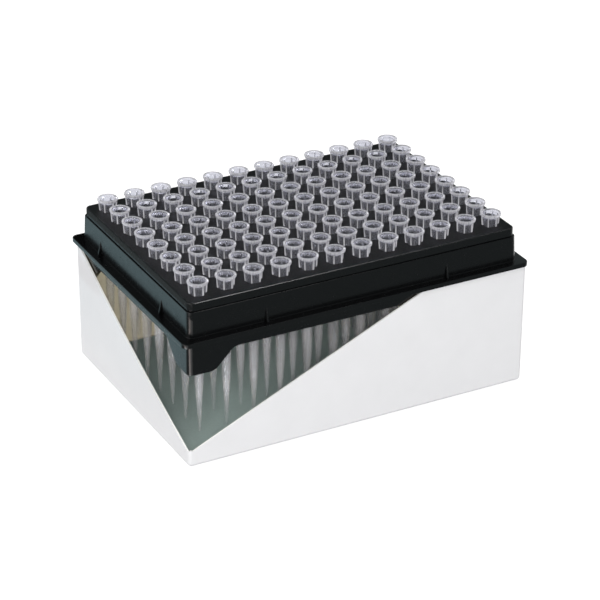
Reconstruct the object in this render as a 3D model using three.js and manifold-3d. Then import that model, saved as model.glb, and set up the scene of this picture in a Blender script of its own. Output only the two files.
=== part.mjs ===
// A box of pipette tips. A folded board carton with a window cut across one corner holds a
// black moulded rack frame, a punched deck lies on the frame, and 96 ribbed tips hang in it.
//
// Millimetres, +Z up. The origin is on the underside, at the middle of the footprint.
// +X runs along the rows of twelve tips. The window opens at the -X, -Y corner.
// Heights are built up from the table: carton, flange, wall, deck, tips.

import * as THREE from "three";
import { mergeVertices } from "three/addons/utils/BufferGeometryUtils.js";
import Module from "manifold-3d";

// Tip pattern: as many columns and rows as there is room for inside the deck's lip
const tipPitch = 9;
const looseColumns = 7; // columns whose tips are pieces of their own; the rest join the deck

// Tip, from its open lower end to its rim
const tipLength = 50;
const rimRadius = 3.25;
const rimHeight = 1;
const leadInDepth = 1.2;
const throatRadius = 1.8;
const ribCount = 6;
const ribReach = 2.95; // from the axis to a rib's outer corner, at its foot
const ribFootDepth = 3.7; // from the rim down to the ribs' feet, which bear on the deck
const tubeRadius = 2.15;
const shaftRadius = 1.5; // where the slow taper ends and the point begins
const pointLength = 17;
const orificeRadius = 0.38;

// Clearance between pieces that sit on or in one another
const seatGap = 0.3;

// Deck
const deckLength = 110;
const deckWidth = 74.4;
const deckEdgeHeight = 2.75;
const deckPlate = 1.8;
const deckCorner = 2;
const deckEdgeRadius = 0.45;
const grooveDepth = 0.3; // shadow groove between the deck's edge and the frame
const grooveHeight = 0.22;
const lipDepth = 3; // the deck's locating lip inside the frame
const lipWall = 1.2;

// Rack frame
const wallStep = 0.4; // how far the frame's wall stands out past the deck
const wallDraft = 0.3;
const wallHeight = 8.1;
const wallThickness = 1.6;
const wallCorner = 2;
const flangeReach = 2.8; // from the foot of the wall to the flange's edge
const flangeThickness = 1.5;
const flangeCorner = 2;
const skirtInset = 2.2; // from the flange's edge in to the skirt's face, at the ends
const skirtSideInset = 1.7; // the same, at the long sides
const skirtDepth = 3.6;
const skirtThickness = 1.4;
const skirtCorner = 1.8;
const legDepth = 10.1; // from the flange's underside to the corner legs' feet
const legWidth = 8.4;
const legSlope = THREE.MathUtils.degToRad(45);
const legRound = 1.5;
const fins = { height: 4.6, reach: 1, thickness: 0.8 }; // small fins between wall and flange
const longSideFins = [-30.5, 30.5];
const shortSideFins = [-19.5, 24];

// Carton
const cartonHeight = 40.1;
const boardThickness = 0.5;
const foldRadius = 1.2;
const rackPlay = 0.5; // the rack stands this far from the middle of the carton, along -X
const windowSill = 5.4;
const windowAngle = THREE.MathUtils.degToRad(24);
const windowEndSag = 1.6; // how far the cut on the end wall dips below a straight line

// Facets
const cornerSteps = 4;
const edgeSteps = 3;

// Sizes and counts that follow from the ones above
const wallTopLength = deckLength + 2 * wallStep;
const wallTopWidth = deckWidth + 2 * wallStep;
const wallFootLength = wallTopLength + 2 * wallDraft;
const wallFootWidth = wallTopWidth + 2 * wallDraft;
const wallInnerLength = wallTopLength - 2 * wallThickness;
const wallInnerWidth = wallTopWidth - 2 * wallThickness;
const wallInnerCorner = Math.max(wallCorner - wallThickness, 0.4);
const lipLength = wallInnerLength - 2 * seatGap;
const lipWidth = wallInnerWidth - 2 * seatGap;
const pocketLength = lipLength - 2 * lipWall;
const pocketWidth = lipWidth - 2 * lipWall;
const holeRadius = tubeRadius + seatGap;
const tipColumns = Math.floor((pocketLength - 2 * holeRadius) / tipPitch) + 1;
const tipRows = Math.floor((pocketWidth - 2 * holeRadius) / tipPitch) + 1;
const flangeLength = wallFootLength + 2 * flangeReach;
const flangeWidth = wallFootWidth + 2 * flangeReach;
const skirtLength = flangeLength - 2 * skirtInset;
const skirtWidth = flangeWidth - 2 * skirtSideInset;
const skirtInnerLength = skirtLength - 2 * skirtThickness;
const skirtInnerWidth = skirtWidth - 2 * skirtThickness;
const skirtInnerCorner = Math.max(skirtCorner - skirtThickness, 0.4);
const cartonLength = skirtLength + 2 * (seatGap + rackPlay + boardThickness);
const cartonWidth = skirtWidth + 2 * (seatGap + boardThickness);

const flangeTop = cartonHeight + flangeThickness;
const frameTop = flangeTop + wallHeight;
const deckTop = frameTop + deckEdgeHeight;
const tipBase = deckTop + seatGap + ribFootDepth - tipLength;

const past = 1; // how far a cutting shape runs on past the faces that it cuts

const materials = {
  carton: new THREE.MeshStandardMaterial({ color: 0xe6e6e8, roughness: 0.45, metalness: 0 }),
  rack: new THREE.MeshStandardMaterial({ color: 0x1c1e20, roughness: 0.3, metalness: 0 }),
  tip: new THREE.MeshStandardMaterial({ color: 0xcfccd2, roughness: 0.25, metalness: 0 }),
};

const wasm = await Module();
wasm.setup();

// A closed geometry as a solid that can be joined and cut
function solidOf(geometry) {
  const bare = geometry.clone();
  bare.deleteAttribute("normal");
  bare.deleteAttribute("uv");
  const merged = mergeVertices(bare, 1e-4);
  return new wasm.Manifold(
    new wasm.Mesh({
      numProp: 3,
      vertProperties: new Float32Array(merged.attributes.position.array),
      triVerts: new Uint32Array(merged.index.array),
    }),
  );
}

// A solid as a geometry with flat faces
function geometryOf(solid) {
  const mesh = solid.getMesh();
  const shared = new THREE.BufferGeometry();
  shared.setAttribute("position", new THREE.BufferAttribute(mesh.vertProperties, 3));
  shared.setIndex(new THREE.BufferAttribute(mesh.triVerts, 1));
  const geometry = shared.toNonIndexed();
  geometry.computeVertexNormals();
  return geometry;
}

// A geometry from a list of triangles, each three corners counterclockwise seen from outside
function geometryOfTriangles(triangles) {
  const geometry = new THREE.BufferGeometry().setFromPoints(triangles.flat());
  geometry.computeVertexNormals();
  return geometry;
}

// One level of a loft: a rectangle with rounded corners, counterclockwise
function level(length, width, radius, z) {
  const x = length / 2 - radius;
  const y = width / 2 - radius;
  const quarter = Math.PI / 2;
  const outline = new THREE.Shape();
  outline.absarc(x, -y, radius, -quarter, 0);
  outline.absarc(x, y, radius, 0, quarter);
  outline.absarc(-x, y, radius, quarter, 2 * quarter);
  outline.absarc(-x, -y, radius, 2 * quarter, 3 * quarter);
  const points = outline.getPoints(cornerSteps / 2);
  return points.map((point) => new THREE.Vector3(point.x, point.y, z));
}

// A closed solid through levels that have as many points each, from the lowest up
function loft(levels) {
  const triangles = [];
  const cap = THREE.ShapeUtils.triangulateShape(levels[0], []);
  const bottom = levels[0];
  const top = levels[levels.length - 1];
  for (const [a, b, c] of cap) {
    triangles.push([bottom[c], bottom[b], bottom[a]], [top[a], top[b], top[c]]);
  }
  for (let i = 1; i < levels.length; i++) {
    const lower = levels[i - 1];
    const upper = levels[i];
    for (let k = 0; k < lower.length; k++) {
      const next = (k + 1) % lower.length;
      triangles.push([lower[k], lower[next], upper[next]], [lower[k], upper[next], upper[k]]);
    }
  }
  return solidOf(geometryOfTriangles(triangles));
}

// A flat outline, its second axis up, made a prism that runs along +Y from y = 0
function uprightPrism(outline, depth) {
  const geometry = new THREE.ExtrudeGeometry(outline, {
    depth,
    bevelEnabled: false,
    curveSegments: edgeSteps,
  });
  return geometry.rotateX(Math.PI / 2).translate(0, depth, 0);
}

// An outline of X and Z, made a prism from one Y to another
function prismAlongY(outline, from, to) {
  return solidOf(uprightPrism(outline, to - from).translate(0, from, 0));
}

// An outline of Y and Z, made a prism from one X to another
function prismAlongX(outline, from, to) {
  return solidOf(uprightPrism(outline, to - from).rotateZ(Math.PI / 2).translate(to, 0, 0));
}

// Tip ----------------------------------------------------------------------------------------

function ring(count, turn, radius, z) {
  return Array.from({ length: count }, (_, i) => {
    const angle = turn + (2 * Math.PI * i) / count;
    return new THREE.Vector3(radius * Math.cos(angle), radius * Math.sin(angle), z);
  });
}

// A tip stands on its open lower end. Ribs lie between the rim and the tube, which narrows
// to a shaft and then to a point, and a tapered bore runs from the rim to the lower end.
function tipGeometry() {
  const rib = 0;
  const valley = Math.PI / ribCount;
  const rimFootZ = tipLength - rimHeight;
  const ribFootZ = tipLength - ribFootDepth;
  const rimTop = ring(2 * ribCount, rib, rimRadius, tipLength);
  const rimFoot = ring(2 * ribCount, rib, rimRadius, rimFootZ);
  const ribFoot = ring(ribCount, rib, ribReach, ribFootZ);
  const valleyTop = ring(ribCount, valley, tubeRadius, rimFootZ);
  const valleyFoot = ring(ribCount, valley, tubeRadius, ribFootZ);
  const shaftFoot = ring(ribCount, valley, shaftRadius, pointLength);
  const orifice = ring(ribCount, valley, orificeRadius, 0);
  const throat = ring(ribCount, valley, throatRadius, tipLength - leadInDepth);

  const triangles = [];
  const quad = (a, b, c, d) => triangles.push([a, b, c], [a, c, d]);
  for (let k = 0; k < ribCount; k++) {
    const next = (k + 1) % ribCount;
    const here = 2 * k; // on the rim, over this rib, over the valley, over the next rib
    const between = here + 1;
    const beyond = 2 * next;
    quad(rimFoot[here], rimFoot[between], rimTop[between], rimTop[here]);
    quad(rimFoot[between], rimFoot[beyond], rimTop[beyond], rimTop[between]);
    quad(valleyTop[k], rimFoot[beyond], rimFoot[between], rimFoot[here]);
    quad(ribFoot[k], valleyFoot[k], valleyTop[k], rimFoot[here]);
    quad(valleyFoot[k], ribFoot[next], rimFoot[beyond], valleyTop[k]);
    triangles.push([valleyFoot[next], ribFoot[next], valleyFoot[k]]);
    quad(shaftFoot[k], shaftFoot[next], valleyFoot[next], valleyFoot[k]);
    quad(orifice[k], orifice[next], shaftFoot[next], shaftFoot[k]);
    quad(orifice[next], orifice[k], throat[k], throat[next]);
    triangles.push([rimTop[here], rimTop[between], throat[k]]);
    triangles.push([rimTop[between], rimTop[beyond], throat[k]]);
    triangles.push([throat[k], rimTop[beyond], throat[next]]);
  }
  return geometryOfTriangles(triangles);
}

// Rows are lettered A to H from the back, columns numbered 1 to 12 from -X
const tipX = (column) => (column - (tipColumns - 1) / 2) * tipPitch;
const tipY = (row) => ((tipRows - 1) / 2 - row) * tipPitch;
const tipName = (row, column) => `tip_${String.fromCharCode(65 + row)}${column + 1}`;

// Deck ---------------------------------------------------------------------------------------

// The outline of the deck, drawn in by inset
function deckLevel(inset, z) {
  return level(deckLength - 2 * inset, deckWidth - 2 * inset, deckCorner - inset, z);
}

function deckPlateSolid() {
  const ledge = frameTop + grooveHeight;
  const levels = [
    deckLevel(grooveDepth, frameTop),
    deckLevel(grooveDepth, ledge),
    deckLevel(0, ledge),
  ];
  for (let i = 0; i <= edgeSteps; i++) {
    const angle = (Math.PI / 2) * (i / edgeSteps);
    const inset = deckEdgeRadius * (1 - Math.cos(angle));
    levels.push(deckLevel(inset, deckTop - deckEdgeRadius * (1 - Math.sin(angle))));
  }
  return loft(levels);
}

function deckSolid(tip) {
  const lipFoot = frameTop - lipDepth;
  const lip = loft([
    level(lipLength, lipWidth, wallInnerCorner, lipFoot),
    level(lipLength, lipWidth, wallInnerCorner, frameTop + grooveHeight),
  ]);
  const pocket = loft([
    level(pocketLength, pocketWidth, wallInnerCorner, lipFoot - past),
    level(pocketLength, pocketWidth, wallInnerCorner, deckTop - deckPlate),
  ]);
  let deck = deckPlateSolid().add(lip).subtract(pocket);

  // A loose tip has a clear hole. A joined tip's hole ends inside the wall of its tube.
  const joinedHole = (tubeRadius + throatRadius) / 2;
  const holeDepth = deckPlate + 2 * past;
  for (let row = 0; row < tipRows; row++) {
    for (let column = 0; column < tipColumns; column++) {
      const radius = column < looseColumns ? holeRadius : joinedHole;
      const hole = new THREE.CylinderGeometry(radius, radius, holeDepth, ribCount);
      hole.rotateX(Math.PI / 2);
      hole.translate(tipX(column), tipY(row), deckTop + past - holeDepth / 2);
      deck = deck.subtract(solidOf(hole));
    }
  }
  for (let row = 0; row < tipRows; row++) {
    for (let column = looseColumns; column < tipColumns; column++) {
      const joined = tip.clone().translate(tipX(column), tipY(row), tipBase);
      deck = deck.add(solidOf(joined));
    }
  }
  return deck;
}

// Rack frame ---------------------------------------------------------------------------------

// The gap under the skirt between two corner legs, seen square on
function legGap(length) {
  const foot = cartonHeight - legDepth;
  const ceiling = cartonHeight - skirtDepth;
  const corner = length / 2 - legWidth;
  const top = corner - (ceiling - foot) / Math.tan(legSlope);
  const gap = new THREE.Shape();
  const side = (sign) => [
    [sign * (corner + legRound), foot - past],
    [sign * (corner + legRound), foot],
    [sign * (corner - legRound * Math.cos(legSlope)), foot + legRound * Math.sin(legSlope)],
    [sign * top, ceiling],
  ];
  const [low, flat, round, high] = side(-1);
  const [farLow, farFlat, farRound, farHigh] = side(1);
  gap.moveTo(...low);
  gap.lineTo(...farLow);
  gap.lineTo(...farFlat);
  gap.quadraticCurveTo(corner, foot, ...farRound);
  gap.lineTo(...farHigh);
  gap.lineTo(...high);
  gap.lineTo(...round);
  gap.quadraticCurveTo(-corner, foot, ...flat);
  return gap;
}

// A fin's outline: out from the wall along the flange, then up to a point on the wall.
// It starts inside the wall and the flange, so that it joins both.
function finOutline(direction, wallFace) {
  const inside = wallFace - direction * (wallThickness / 2);
  const outside = wallFace + direction * fins.reach;
  const foot = flangeTop - flangeThickness / 2;
  const outline = new THREE.Shape();
  outline.moveTo(inside, foot);
  outline.lineTo(outside, foot);
  outline.lineTo(outside, flangeTop);
  outline.lineTo(inside, flangeTop + fins.height);
  return outline;
}

function frameSolid() {
  const foot = cartonHeight - legDepth;
  const outside = loft([
    level(skirtLength, skirtWidth, skirtCorner, foot),
    level(skirtLength, skirtWidth, skirtCorner, cartonHeight),
    level(flangeLength, flangeWidth, flangeCorner, cartonHeight),
    level(flangeLength, flangeWidth, flangeCorner, flangeTop),
    level(wallFootLength, wallFootWidth, wallCorner, flangeTop),
    level(wallTopLength, wallTopWidth, wallCorner, frameTop),
  ]);
  const inside = loft([
    level(skirtInnerLength, skirtInnerWidth, skirtInnerCorner, foot - past),
    level(skirtInnerLength, skirtInnerWidth, skirtInnerCorner, cartonHeight),
    level(wallInnerLength, wallInnerWidth, wallInnerCorner, cartonHeight),
    level(wallInnerLength, wallInnerWidth, wallInnerCorner, frameTop + past),
  ]);
  const endReach = skirtLength / 2 + past;
  const sideReach = skirtWidth / 2 + past;
  let frame = outside
    .subtract(inside)
    .subtract(prismAlongY(legGap(skirtLength), -sideReach, sideReach))
    .subtract(prismAlongX(legGap(skirtWidth), -endReach, endReach));

  const half = fins.thickness / 2;
  for (const side of [-1, 1]) {
    for (const x of longSideFins) {
      const outline = finOutline(side, (side * wallFootWidth) / 2);
      frame = frame.add(prismAlongX(outline, x - half, x + half));
    }
    for (const y of shortSideFins) {
      const outline = finOutline(side, (side * wallFootLength) / 2);
      frame = frame.add(prismAlongY(outline, y - half, y + half));
    }
  }
  return frame;
}

// Carton -------------------------------------------------------------------------------------

// The window on one wall: level along the sill at the corner, then up to the carton's top,
// dipping by sag below a straight line. The corner is at the low end of the wall.
function windowOutline(wallLength, sag) {
  const corner = -wallLength / 2;
  const start = corner + foldRadius;
  const rise = cartonHeight - windowSill;
  const run = rise / Math.tan(windowAngle);
  const outline = new THREE.Shape();
  outline.moveTo(corner - past, windowSill);
  outline.lineTo(start, windowSill);
  outline.quadraticCurveTo(start + run / 2, windowSill + rise / 2 - 2 * sag, start + run, cartonHeight);
  outline.lineTo(start + run, cartonHeight + past);
  outline.lineTo(corner - past, cartonHeight + past);
  return outline;
}

function cartonSolid() {
  const levels = [];
  for (let i = 0; i <= edgeSteps; i++) {
    const angle = (Math.PI / 2) * (i / edgeSteps);
    const inset = foldRadius * (1 - Math.sin(angle));
    const height = foldRadius * (1 - Math.cos(angle));
    const length = cartonLength - 2 * inset;
    const width = cartonWidth - 2 * inset;
    levels.push(level(length, width, foldRadius, height));
  }
  levels.push(level(cartonLength, cartonWidth, foldRadius, cartonHeight));
  const innerLength = cartonLength - 2 * boardThickness;
  const innerWidth = cartonWidth - 2 * boardThickness;
  const innerFold = foldRadius - boardThickness;
  const inside = loft([
    level(innerLength - 2 * innerFold, innerWidth - 2 * innerFold, innerFold, boardThickness),
    level(innerLength, innerWidth, innerFold, foldRadius),
    level(innerLength, innerWidth, innerFold, cartonHeight + past),
  ]);
  const end = -cartonLength / 2;
  const front = -cartonWidth / 2;
  const through = foldRadius + past;
  const frontCut = windowOutline(cartonLength, 0);
  const endCut = windowOutline(cartonWidth, windowEndSag);
  return loft(levels)
    .subtract(inside)
    .subtract(prismAlongY(frontCut, front - past, front + through))
    .subtract(prismAlongX(endCut, end - past, end + through));
}

// Assembly -----------------------------------------------------------------------------------

function piece(name, geometry, material) {
  const mesh = new THREE.Mesh(geometry, material);
  mesh.name = name;
  return mesh;
}

const tip = tipGeometry();

const carton = piece("carton", geometryOf(cartonSolid()), materials.carton);
carton.position.x = rackPlay;

const rack = new THREE.Group();
rack.add(piece("rack_frame", geometryOf(frameSolid()), materials.rack));
rack.add(piece("tip_deck", geometryOf(deckSolid(tip)), materials.rack));
for (let row = 0; row < tipRows; row++) {
  for (let column = 0; column < looseColumns; column++) {
    const loose = piece(tipName(row, column), tip, materials.tip);
    loose.position.set(tipX(column), tipY(row), tipBase);
    rack.add(loose);
  }
}

const box = new THREE.Group();
box.add(carton, rack);

export default box;
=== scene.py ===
"""An open carton that holds a black rack with 96 ribbed pipette tips.

Laid out as an add-on and run as a script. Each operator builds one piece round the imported
model, in its frame and in metres: the carton, the rack frame, the deck, the tips, the stage.
"""

import math
import random
from collections import namedtuple

import bpy
from bpy.props import FloatProperty, FloatVectorProperty, IntProperty, PointerProperty
from mathutils import Matrix, Vector

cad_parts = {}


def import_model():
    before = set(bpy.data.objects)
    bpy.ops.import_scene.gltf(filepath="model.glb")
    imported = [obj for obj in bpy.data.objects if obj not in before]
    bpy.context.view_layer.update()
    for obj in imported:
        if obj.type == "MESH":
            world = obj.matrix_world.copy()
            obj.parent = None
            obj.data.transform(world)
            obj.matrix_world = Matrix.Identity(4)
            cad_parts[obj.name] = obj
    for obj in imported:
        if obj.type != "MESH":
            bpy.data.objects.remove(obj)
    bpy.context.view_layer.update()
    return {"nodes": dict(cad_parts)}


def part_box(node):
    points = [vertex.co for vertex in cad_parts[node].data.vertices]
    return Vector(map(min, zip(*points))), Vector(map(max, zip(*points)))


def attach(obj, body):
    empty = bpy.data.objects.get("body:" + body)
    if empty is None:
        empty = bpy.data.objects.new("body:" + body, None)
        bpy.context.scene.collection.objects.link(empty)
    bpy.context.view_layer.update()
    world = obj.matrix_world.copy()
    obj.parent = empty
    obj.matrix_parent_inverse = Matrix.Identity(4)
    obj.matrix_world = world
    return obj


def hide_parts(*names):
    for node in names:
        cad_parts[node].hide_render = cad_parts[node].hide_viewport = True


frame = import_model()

bl_info = {
    "name": "Box of pipette tips",
    "version": (1, 0, 0),
    "blender": (4, 5, 0),
    "location": "3D View > Sidebar > Tip box",
    "description": "Builds an open carton with a black rack of ribbed pipette tips",
    "category": "Object",
}

MM = 0.001

# Steps along the curves: a quarter turn of a corner, a fold and an edge, the window's two
# cuts, and a leg's rounding
CARTON_CORNER_STEPS = 8
MOULDED_CORNER_STEPS = 10
FOLD_STEPS = 6
FRONT_CUT_STEPS = 24
END_CUT_STEPS = 40
LEG_STEPS = 6
DECK_EDGE_STEPS = 8
HOLE_SIDES = 28
TIP_SIDES = 26

# Seeds of what is random
TORN_SEED = 4
LEAN_SEED = 7

# Edges that are sharper than these stay sharp, in degrees
SHARP = 35
SHARP_ON_DECK = 30
SHARP_ON_TIPS = 40

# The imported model's own places, which every piece is built from
CARTON_LOW, CARTON_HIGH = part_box("carton")
FRAME_LOW, FRAME_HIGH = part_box("rack_frame")
DECK_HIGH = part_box("tip_deck")[1]
TIP_LOW, TIP_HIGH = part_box("tip_A1")
TIP_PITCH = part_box("tip_A2")[0].x - TIP_LOW.x
TIP_NODES = sorted(n for n in frame["nodes"] if n.startswith("tip_") and n != "tip_deck")
TIP_ROWS = len({n[4] for n in TIP_NODES})
TIP_COLUMNS = 1 + round(-(TIP_LOW.x + TIP_HIGH.x) / TIP_PITCH)


# Values -----------------------------------------------------------------------------------


def linear(hexadecimal):
    """An sRGB colour such as "#8a8672" as three linear numbers."""
    values = [int(hexadecimal[i : i + 2], 16) / 255 for i in (1, 3, 5)]
    return tuple(v / 12.92 if v <= 0.04045 else ((v + 0.055) / 1.055) ** 2.4 for v in values)


def length(name, description, millimetres):
    """A property for a length, its default in millimetres."""
    return FloatProperty(
        name=name,
        description=description,
        default=millimetres * MM,
        precision=5,
        subtype="DISTANCE",
        unit="LENGTH",
    )


def turn(name, description, degrees):
    """A property for an angle, its default in degrees."""
    return FloatProperty(
        name=name,
        description=description,
        default=math.radians(degrees),
        subtype="ANGLE",
        unit="ROTATION",
    )


def colour(name, description, hexadecimal):
    """A property for a colour, its default an sRGB hex value."""
    return FloatVectorProperty(
        name=name,
        description=description,
        default=linear(hexadecimal),
        min=0,
        max=1,
        subtype="COLOR",
    )


class CartonValues(bpy.types.PropertyGroup):
    """The folded board carton and its corner window"""

    board: length("Board", "Thickness of the board", 0.5)
    fold: length("Fold radius", "Outer radius of the folds", 1.2)
    sill: length("Window sill", "Height of the window's low corner", 5.4)
    slant: turn("Window slant", "How steeply the cuts rise from the low corner", 24)
    sag: length("Window sag", "Dip of the end wall's cut below a straight line", 1.6)
    torn: length("Torn fibres", "Roughness of the cut at the window's low corner", 0.35)
    seam: length("Seam", "Width of the seams of the flaps and the glued corner", 0.3)
    face: colour("Face", "Coated white side of the board", "#e9e9ea")
    # Painted light: the walls' back and the floor's back are one uncoated board. Their two colours,
    # khaki on the walls and a lighter green-grey on the floor, stand in for how the light falls
    # inside the carton.
    back: colour("Back", "Uncoated side of the wall panels", "#5f594b")
    floor: colour("Floor", "Uncoated side of the bottom panel", "#a0b1ac")
    edge: colour("Cut edge", "Fibres of the cut board", "#f4f4f1")


class FrameValues(bpy.types.PropertyGroup):
    """The moulded rack frame that hangs in the carton"""

    corner: length("Corner", "Radius of the wall's and the flange's corners", 2)
    flange: length("Flange", "Thickness of the flange", 1.5)
    reach: length("Flange reach", "From the wall's foot to the flange's edge", 2.8)
    draft: length("Draft", "How far the wall leans in", 0.3)
    wall: length("Wall", "Thickness of the wall", 1.6)
    inner_corner: length("Inner corner", "Radius inside the corners", 0.4)
    skirt_end: length("Skirt inset, ends", "From the flange's edge in to the skirt", 2.2)
    skirt_side: length("Skirt inset, sides", "From the flange's edge in to the skirt", 1.7)
    skirt: length("Skirt", "Thickness of the skirt", 1.4)
    skirt_corner: length("Skirt corner", "Radius of the skirt's corners", 1.8)
    skirt_depth: length("Skirt depth", "From the flange down to the skirt's edge", 3.6)
    leg_width: length("Leg", "Width of a corner leg at each face", 8.4)
    leg_slope: turn("Leg slope", "Slope from a leg up to the skirt's edge", 45)
    leg_round: length("Leg rounding", "Reach of the rounding at a leg's foot", 1.5)
    leg_fillet: length("Leg fillet", "Reach of the fillet at the top of a leg's slope", 1.2)
    bevel: length("Edge", "Rounding of the moulded edges", 0.22)
    fin_height: length("Fin height", "Height of the fins on the flange", 4.6)
    fin_reach: length("Fin reach", "How far the fins stand out from the wall", 1)
    fin_width: length("Fin", "Thickness of the fins", 0.8)
    fin_long: length("Side fins", "Place of the long sides' fins, either way", 30.5)
    fin_left: length("End fin, front", "Place of the ends' front fin", -19.5)
    fin_right: length("End fin, back", "Place of the ends' back fin", 24)
    black: colour("Plastic", "Black plastic of the frame", "#050506")


class DeckValues(bpy.types.PropertyGroup):
    """The punched deck that lies on the frame"""

    corner: length("Corner", "Radius of the deck's corners", 2)
    plate: length("Plate", "Thickness of the plate", 1.8)
    edge: length("Edge", "Rounding of the top edge", 0.45)
    height: length("Height", "From the frame up to the deck's top", 2.75)
    groove: length("Groove", "Depth of the groove over the frame", 0.3)
    groove_height: length("Groove height", "Height of that groove", 0.22)
    lip: length("Lip", "Thickness of the lip inside the frame", 1.2)
    lip_depth: length("Lip depth", "How far the lip reaches down", 3)
    lip_inset: length("Lip inset", "From the deck's edge in to the lip", 1.5)
    hole: length("Hole", "Radius of a tip's hole", 2.45)
    black: colour("Plastic", "Black plastic of the deck's sides", "#050506")
    grained: colour("Grained top", "Black plastic of the deck's grained top", "#0a0a0b")


class TipValues(bpy.types.PropertyGroup):
    """The ribbed tips and their pattern"""

    rows: IntProperty(name="Rows", description="Rows of tips", default=TIP_ROWS)
    columns: IntProperty(name="Columns", description="Tips in a row", default=TIP_COLUMNS)
    pitch: length("Pitch", "From one tip to the next", TIP_PITCH / MM)
    rim: length("Rim", "Outer radius of the rim", 3.2)
    rim_height: length("Rim height", "Height of the rim", 0.8)
    mouth: length("Mouth", "Inner radius at the rim's top", 2.4)
    throat: length("Throat", "Radius below the lead-in", 2.0)
    tube: length("Tube", "Radius of the tube between the ribs", 2.2)
    shaft: length("Shaft", "Radius of the shaft where the point begins", 1.4)
    point: length("Point", "Length of the tapered point", 17)
    nose: length("Nose", "Radius where the point's last stretch begins", 0.78)
    nose_length: length("Nose length", "Length of that last stretch", 7.5)
    orifice: length("Orifice", "Outer radius at the lower end", 0.38)
    rib: length("Rib", "Thickness of a rib", 0.38)
    rib_head: length("Rib head", "From the axis to a rib's edge under the rim", 2.95)
    rib_foot: length("Rib foot", "From the axis to a rib's edge at its foot", 2.72)
    ribs: IntProperty(name="Ribs", description="Ribs round a tip", default=6)
    rib_turn: turn("Rib turn", "Where the first rib lies", 48)
    lean: turn("Lean", "Most that a tip leans in its hole", 0.35)
    spin: turn("Spin", "Most that a tip is turned in its hole", 8)
    natural: colour("Plastic", "Natural polypropylene where it is thick", "#f0eef2")
    thin: colour("Thin plastic", "The same where it is thin", "#c6c7d1")


class StageValues(bpy.types.PropertyGroup):
    """The camera, the lamps, the floor and the reflector cards"""

    azimuth: turn("Azimuth", "The camera's turn round the box", -28.22)
    elevation: turn("Elevation", "The camera's height above the horizon", 27.396)
    roll: turn("Roll", "The camera's roll", 0.3386)
    distance: length("Distance", "From the camera to what it aims at", 762.5)
    lens: FloatProperty(
        name="Lens",
        description="Focal length in millimetres on a 36 mm sensor",
        default=147.134,
    )
    floor: colour("Floor", "The pale floor", "#c0c0c2")
    reflector: colour("Reflector", "The pale card at the left", "#bcdae1")
    flag: colour("Flag", "The dark cards that the plastic reflects", "#7a8384")


# Meshes -----------------------------------------------------------------------------------

# A place on the way round a rounded rectangle. It is at corner * (half size - radius)
# + direction * radius + mark, and height is what the outline gives there.
Station = namedtuple("Station", "corner direction mark height")


def arc_stations(corner, first, steps, heights):
    """The stations of one corner, from the direction first on, a quarter turn."""
    low, high = heights
    found = []
    for i in range(steps + 1):
        share = i / steps
        angle = first + share * math.pi / 2
        direction = Vector((math.cos(angle), math.sin(angle)))
        found.append(Station(Vector(corner), direction, Vector((0, 0)), low + share * (high - low)))
    return found


def side_stations(normal, marks):
    """The stations of one side, from (place along the side, height) pairs."""
    away = Vector(normal)
    along = Vector((abs(away.y), abs(away.x)))
    return [Station(away, away, along * place, height) for place, height in marks]


def round_stations(front, right, back, left, corners, steps):
    """All stations, counterclockwise from the front side. Each side's pairs go from its low
    end to its high one, and corners gives the heights round the front right, back right,
    back left and front left corner."""
    quarter = math.pi / 2
    found = side_stations((0, -1), front)
    found += arc_stations((1, -1), -quarter, steps, corners[0])
    found += side_stations((1, 0), right)
    found += arc_stations((1, 1), 0, steps, corners[1])
    found += side_stations((0, 1), back[::-1])
    found += arc_stations((-1, 1), quarter, steps, corners[2])
    found += side_stations((-1, 0), left[::-1])
    found += arc_stations((-1, -1), 2 * quarter, steps, corners[3])
    return found


def ring(stations, half, radius, z=None, centre=0):
    """One closed line of points round a rounded rectangle, at z or at each station's height."""
    straight = Vector((half[0] - radius, half[1] - radius))
    points = []
    for s in stations:
        x = s.corner.x * straight.x + s.direction.x * radius + s.mark.x
        y = s.corner.y * straight.y + s.direction.y * radius + s.mark.y
        points.append((x + centre, y, s.height if z is None else z))
    return points


def skin(name, rings, closed=False, finishes=None):
    """A mesh through rings of as many points each, either closed on itself or with an end
    face at both ends. finishes gives the material number of each band."""
    count = len(rings[0])
    vertices = [p for points in rings for p in points]
    bands = len(rings) if closed else len(rings) - 1
    faces = []
    numbers = []
    for band in range(bands):
        low = band * count
        high = (band + 1) % len(rings) * count
        for i in range(count):
            j = (i + 1) % count
            faces.append((low + i, low + j, high + j, high + i))
            numbers.append(finishes[band] if finishes else 0)
    if not closed:
        faces.append(tuple(range(count))[::-1])
        faces.append(tuple(range(len(vertices) - count, len(vertices))))
        numbers += [numbers[0], numbers[-1]]
    mesh = bpy.data.meshes.new(name)
    mesh.from_pydata(vertices, [], faces)
    for face, number in zip(mesh.polygons, numbers):
        face.material_index = number
    return mesh


def rectangle(low, high, z):
    """The corners of a level rectangle, counterclockwise, from two opposite ones."""
    return [(low[0], low[1], z), (high[0], low[1], z), (high[0], high[1], z), (low[0], high[1], z)]


def block(name, low, high):
    """A box mesh from its lowest to its highest corner."""
    return skin(name, [rectangle(low, high, z) for z in (low[2], high[2])])


def put(name, mesh, *materials):
    """A new object in the scene, with its materials."""
    made = bpy.data.objects.new(name, mesh)
    bpy.context.scene.collection.objects.link(made)
    for material in materials:
        mesh.materials.append(material)
    return made


def bake(piece):
    """Turns a piece with its modifiers into a plain mesh."""
    bpy.context.view_layer.update()
    evaluated = piece.evaluated_get(bpy.context.evaluated_depsgraph_get())
    mesh = bpy.data.meshes.new_from_object(evaluated)
    piece.modifiers.clear()
    piece.data = mesh


def bevel(piece, width, segments=2):
    """Rounds the sharp edges."""
    modifier = piece.modifiers.new("Edges", "BEVEL")
    modifier.width = width
    modifier.segments = segments
    modifier.limit_method = "ANGLE"
    modifier.angle_limit = math.radians(SHARP)
    modifier.miter_outer = "MITER_ARC"
    bake(piece)


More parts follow.
